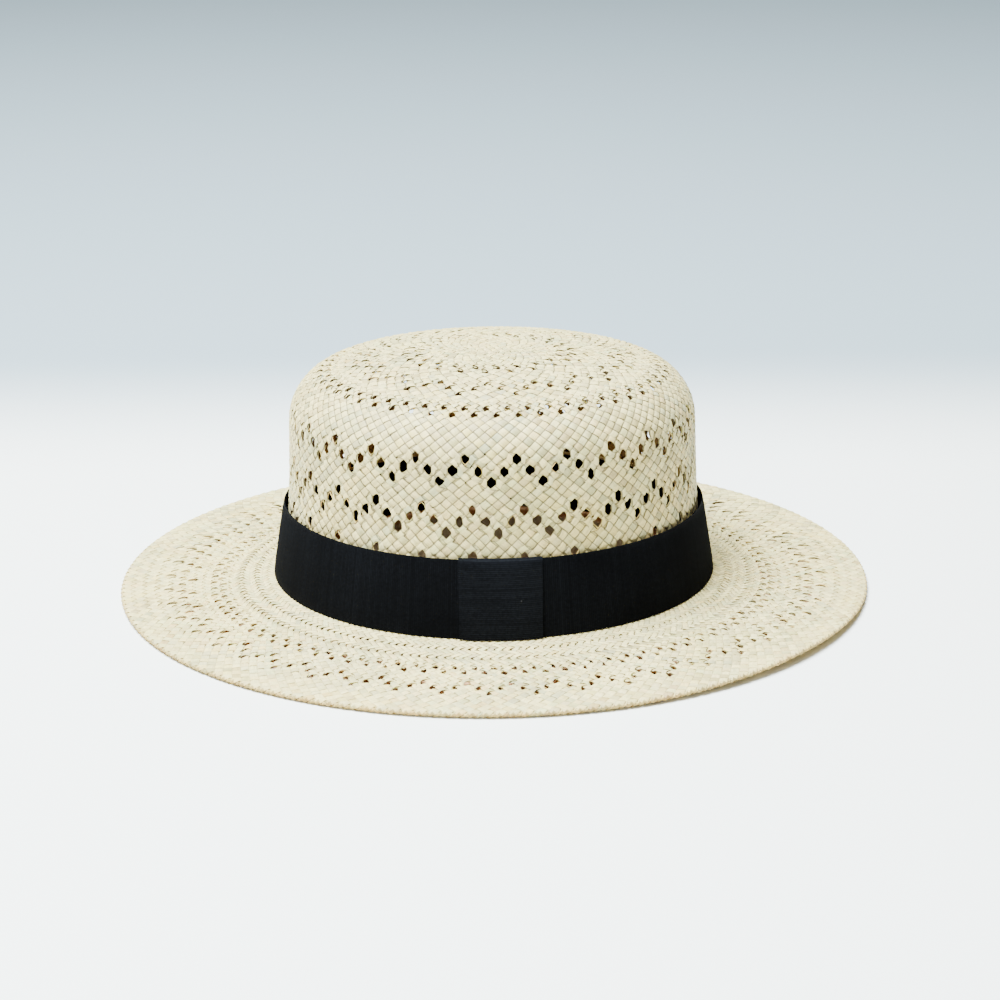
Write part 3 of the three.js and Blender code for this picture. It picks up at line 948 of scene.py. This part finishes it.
def addRibbonBand():
    middle = 0.5 * (ribbonBand["bottomZ"] + ribbonBand["topZ"])
    length = 2 * math.pi * float(bandInner(middle) + oval["headStretch"] / 2)
    columns = 2 * round(length / ribbonBand["ribPitch"])
    theta = np.linspace(0, 2 * math.pi, columns, endpoint=False)[:, None]
    up = np.linspace(0, 1, ribbonBand["rows"])[None, :]
    z = ribbonBand["bottomZ"] + (ribbonBand["topZ"] - ribbonBand["bottomZ"]) * up
    slow, quick = ribbonBand["slack"]
    slack = slow * np.sin(3 * theta + 0.8) * up ** 2 + quick * np.sin(7 * theta) * up ** 3
    isEdge = np.abs(2 * up - 1) > 0.99
    half = 0.5 * ribbonBand["thickness"] * (1 - ribbonBand["edgeThin"] * isEdge)
    rib = ribbonBand["ribHeight"] * np.where(np.arange(columns)[:, None] % 2 == 0, 1, -1) * ~isEdge
    behind = ease((np.sin(theta) - ribbonBand["hugFrom"]) / ribbonBand["hugOver"])
    hug = ribbonBand["hugBehind"] * up ** 2 * behind
    middleWidth = bandInner(z) + 0.5 * ribbonBand["seat"] + slack - hug
    outer = ovalPoints(middleWidth + half + rib, theta, z)
    inner = ovalPoints(middleWidth - half - rib, theta, z)
    piece = ringPiece("ribbon_band_cloth", outer, inner, ribShade=ribShades(columns)[:, None])
    addPiece(piece, ribbonCloth, "ribbon_band")
    print("ribbon band", columns // 2, "ribs")


# ribbon tab: a short piece folded over the band's upper edge
ribbonTab = {
    "width": 35.3,
    "centreX": 3.0,
    "columns": 28,
    "face": 1.70,  # its middle line in front of the band's inner face
    "back": -0.9,
    "foldZ": 40.6,
    "foldRise": 0.9,
    "hookZ": 36.9,
    "bottomZ": 6.9,
    # the turned-in lower edge: out from the face, and up from the bottom
    "curl": ((-0.75, 0.25), (-0.3, 0.12), (0.0, 0.5)),
    "thickness": 0.6,
    "swell": 0.6,  # how much further its middle stands off
    "ribPitch": 0.8,
    "ribHeight": 0.09,
}


def tabLine():
    # middle line of the folded ribbon: out from the band and height, at even steps
    face, back, rise = ribbonTab["face"], ribbonTab["back"], ribbonTab["foldRise"]
    centre, reach = 0.5 * (face + back), 0.5 * (face - back)
    turn = np.linspace(0, math.pi, 16)
    curl = [(face + out, ribbonTab["bottomZ"] + up) for out, up in ribbonTab["curl"]]
    arc = [(centre + reach * math.cos(a), ribbonTab["foldZ"] - rise + rise * math.sin(a)) for a in turn]
    points = np.array(curl + arc + [(back, ribbonTab["hookZ"])])
    length = np.concatenate([[0], np.cumsum(np.linalg.norm(np.diff(points, axis=0), axis=1))])
    even = np.linspace(0, length[-1], 2 * round(length[-1] / ribbonTab["ribPitch"]) + 1)
    return np.stack([np.interp(even, length, points[:, k]) for k in (0, 1)], 1), length[-1]


def addRibbonTab():
    line, length = tabLine()
    step = np.gradient(line, axis=0)
    normal = np.stack([step[:, 1], -step[:, 0]], 1)
    normal /= np.linalg.norm(normal, axis=1)[:, None]
    rib = ribbonTab["ribHeight"] * np.where(np.arange(len(line)) % 2 == 0, 1, -1)
    x = np.linspace(-0.5, 0.5, ribbonTab["columns"]) * ribbonTab["width"] + ribbonTab["centreX"]
    fromMiddle = 2 * (x - ribbonTab["centreX"]) / ribbonTab["width"]
    half = 0.5 * ribbonTab["thickness"]
    onFace = (line[:, 0] > 1.0) * ease((ribbonBand["topZ"] + 0.3 - line[:, 1]) / 4)
    swell = ribbonTab["swell"] * (1 - fromMiddle ** 4)[None, :] * onFace[:, None]

    def face(side):
        off = line + normal * (side * (half + side * rib))[:, None]
        z = off[:, 1][:, None] + 0 * x[None, :]
        halfWidth = bandInner(np.minimum(z, ribbonBand["topZ"])) + off[:, 0][:, None] + swell
        halfLength = halfWidth + stretchAt(halfWidth)
        y = -halfWidth * np.sqrt(1 - (x[None, :] / halfLength) ** 2)
        return np.stack([np.broadcast_to(x[None, :], y.shape), y, z], -1)

    outer, inner = face(1), face(-1)
    loop = np.concatenate([outer, inner[:, ::-1]], axis=1)
    count, size = loop.shape[:2]
    row = np.arange(count - 1)[:, None] * size
    place = np.arange(size)[None, :]
    after = (place + 1) % size
    quads = np.stack([row + place, row + after, row + size + after, row + size + place], -1)
    caps = np.stack([np.arange(size)[::-1], (count - 1) * size + np.arange(size)])
    shade = np.broadcast_to(ribShades(count)[:, None], (count, size))
    piece = joinedMesh("ribbon_tab_cloth", loop, quads, caps, clothSharp, ribShade=shade)
    addPiece(piece, tabCloth, "ribbon_tab")
    print("ribbon tab", count // 2, "ribs")


# sweatband inside the foot of the crown
sweatBand = {
    "bottomZ": 4.3,
    "topZ": 34.0,
    "middleZ": 20.0,
    "offWall": 1.95,
    "thickness": 0.8,
    "bound": 0.12,  # how much thicker its bound upper edge is
    "boundAt": 0.94,
    "boundSpread": 0.03,
    "ripple": 0.1,
    "columns": 240,
    "rows": 18,
}


def addSweatBand():
    theta = np.linspace(0, 2 * math.pi, sweatBand["columns"], endpoint=False)[:, None]
    up = np.linspace(0, 1, sweatBand["rows"])[None, :]
    z = sweatBand["bottomZ"] + (sweatBand["topZ"] - sweatBand["bottomZ"]) * up
    ripple = sweatBand["ripple"] * np.sin(11 * theta + 2 * up) * up
    outside = wallHalfWidth(np.maximum(z, crownForm["footZ"])) - sweatBand["offWall"] - np.abs(ripple)
    fromBound = (up - sweatBand["boundAt"]) / sweatBand["boundSpread"]
    bound = sweatBand["bound"] * np.exp(-fromBound ** 2)
    outer = ovalPoints(outside, theta, z)
    inner = ovalPoints(outside - sweatBand["thickness"] - bound, theta, z)
    piece = ringPiece("sweatband_tape", outer, inner, ribShade=ribShades(sweatBand["columns"])[:, None])
    addPiece(piece, sweatCloth, "sweatband")
    print("sweatband", sweatBand["columns"], "columns")


ribbonLook = {
    "colour": (0.0007, 0.0008, 0.0012),
    # the second colour is the painted highlight on the ribs' crests
    "crestHighlight": (0.0036, 0.0042, 0.0056),
    "lint": 0.22,
    "scale": 900.0,
    "bump": 0.25,
    "roughness": 0.8,
    "sheen": 0.002,
    "gloss": 0.03,
}
tabLook = {"colour": (0.0012, 0.0014, 0.002), "crestHighlight": (0.0062, 0.0072, 0.0096)}
sweatLook = {
    "colour": (0.003, 0.003, 0.003),
    "crestHighlight": (0.007, 0.0065, 0.006),
    "lint": 0.1,
    "scale": 1400.0,
    "bump": 0.4,
    "roughness": 0.8,
    "sheen": 0.01,
    "gloss": 0.03,
}
threadGroup = clothThreadGroup()
ribbonCloth = clothMaterial("black_ribbon", ribbonLook, threadGroup)
tabCloth = clothMaterial("black_ribbon_tab", ribbonLook | tabLook, threadGroup)
sweatCloth = clothMaterial("black_tape", sweatLook, threadGroup)
addRibbonBand()
addRibbonTab()
addSweatBand()

# lights and floor
stage = {
    "floorColour": (0.90, 0.93, 0.885),
    # painted shade toward the right side of the floor
    "floorRightShade": (0.60, 0.64, 0.60),
    "floorFar": (0.30, 0.385, 0.425),
    # painted dark brown shade inside the crown, and painted brown light under the brim that stands for
    # light through the straw
    "floorWithinShade": (0.24, 0.18, 0.09),
    "floorUnderLight": (0.66, 0.38, 0.18),
    "floorSide": 12.0,
    "floorZ": -0.0002,
    "floorRoughness": 0.55,
    "floorOval": (0.91, 1.0, 0.0),  # the painted shade and light under the hat follow its oval
    "withinEdge": (0.083, 0.090),
    "underEdge": (0.128, 0.140),
    "rightFade": (0.13, 0.6),
    "farFade": (0.14, 0.38),
    "aim": (0, 0, 0.05),
    "keyPower": 296,
    "keyPlace": (-0.5, -0.2, 1.95),
    "keySide": 1.2,
    "keyColour": (0.93, 1.0, 1.05),
    "fillPower": 14,
    "fillPlace": (-0.6, -1.6, 0.9),
    "fillSide": 1.2,
    "worldColour": (1.0, 0.96, 0.86),
    "worldStrength": 0.22,
    "withinPower": 0.028,  # the glow that comes through the straw
    "withinPlace": (0.0, -0.03, 0.078),
    "withinColour": (1.0, 0.42, 0.22),
}


def floorMaterial():
    mat, tree, shader = material("pale_floor", stage["floorColour"], stage["floorRoughness"])
    place = addNode(tree, "ShaderNodeTexCoord").outputs["Object"]
    scaled = vectorMath(tree, "MULTIPLY", {0: place, 1: stage["floorOval"]})
    out = vectorMath(tree, "LENGTH", {0: scaled}, "Value")
    parts = addNode(tree, "ShaderNodeSeparateXYZ", {0: place}).outputs
    # painted shade and light: the floor inside the crown is painted dark brown shade, under the brim
    # painted brown light that stands for light through the straw, and toward the right painted shade; far
    # off it fades to the backdrop's blue grey
    steps = ((out, "withinEdge", "floorUnderLight"), (out, "underEdge", "floorColour"),
             (parts["X"], "rightFade", "floorRightShade"), (parts["Y"], "farFade", "floorFar"))
    colour = (*stage["floorWithinShade"], 1)
    for along, edge, beyond in steps:
        share = mapRange(tree, along, *stage[edge], interpolation_type="SMOOTHSTEP")
        colour = mixColours(tree, share, colour, (*stage[beyond], 1))
    tree.links.new(colour, shader.inputs["Base Color"])
    return mat


def areaLight(name, place, side, power, colour=(1, 1, 1)):
    data = bpy.data.lights.new(name, "AREA")
    data.shape, data.size, data.energy, data.color = "SQUARE", side, power, colour
    lamp = bpy.data.objects.new(name, data)
    lamp.location = place
    toward = Vector(stage["aim"]) - Vector(place)
    lamp.rotation_euler = toward.to_track_quat("-Z", "Y").to_euler()
    bpy.context.scene.collection.objects.link(lamp)


def addStage():
    bpy.ops.mesh.primitive_plane_add(size=stage["floorSide"], location=(0, 0, stage["floorZ"]))
    floor = bpy.context.object
    floor.name = "floor"
    floor.data.materials.append(floorMaterial())
    areaLight("keyLight", stage["keyPlace"], stage["keySide"], stage["keyPower"], stage["keyColour"])
    areaLight("fillLight", stage["fillPlace"], stage["fillSide"], stage["fillPower"])
    glow = bpy.data.lights.new("withinGlow", "POINT")
    glow.energy, glow.color, glow.shadow_soft_size = stage["withinPower"], stage["withinColour"], 0
    lamp = bpy.data.objects.new("withinGlow", glow)
    lamp.location = stage["withinPlace"]
    bpy.context.scene.collection.objects.link(lamp)
    world = bpy.data.worlds.new("studio")
    bpy.context.scene.world = world
    world.use_nodes = True
    sky = world.node_tree.nodes["Background"]
    sky.inputs["Color"].default_value = (*stage["worldColour"], 1)
    sky.inputs["Strength"].default_value = stage["worldStrength"]
    print("lights and floor placed")


addStage()
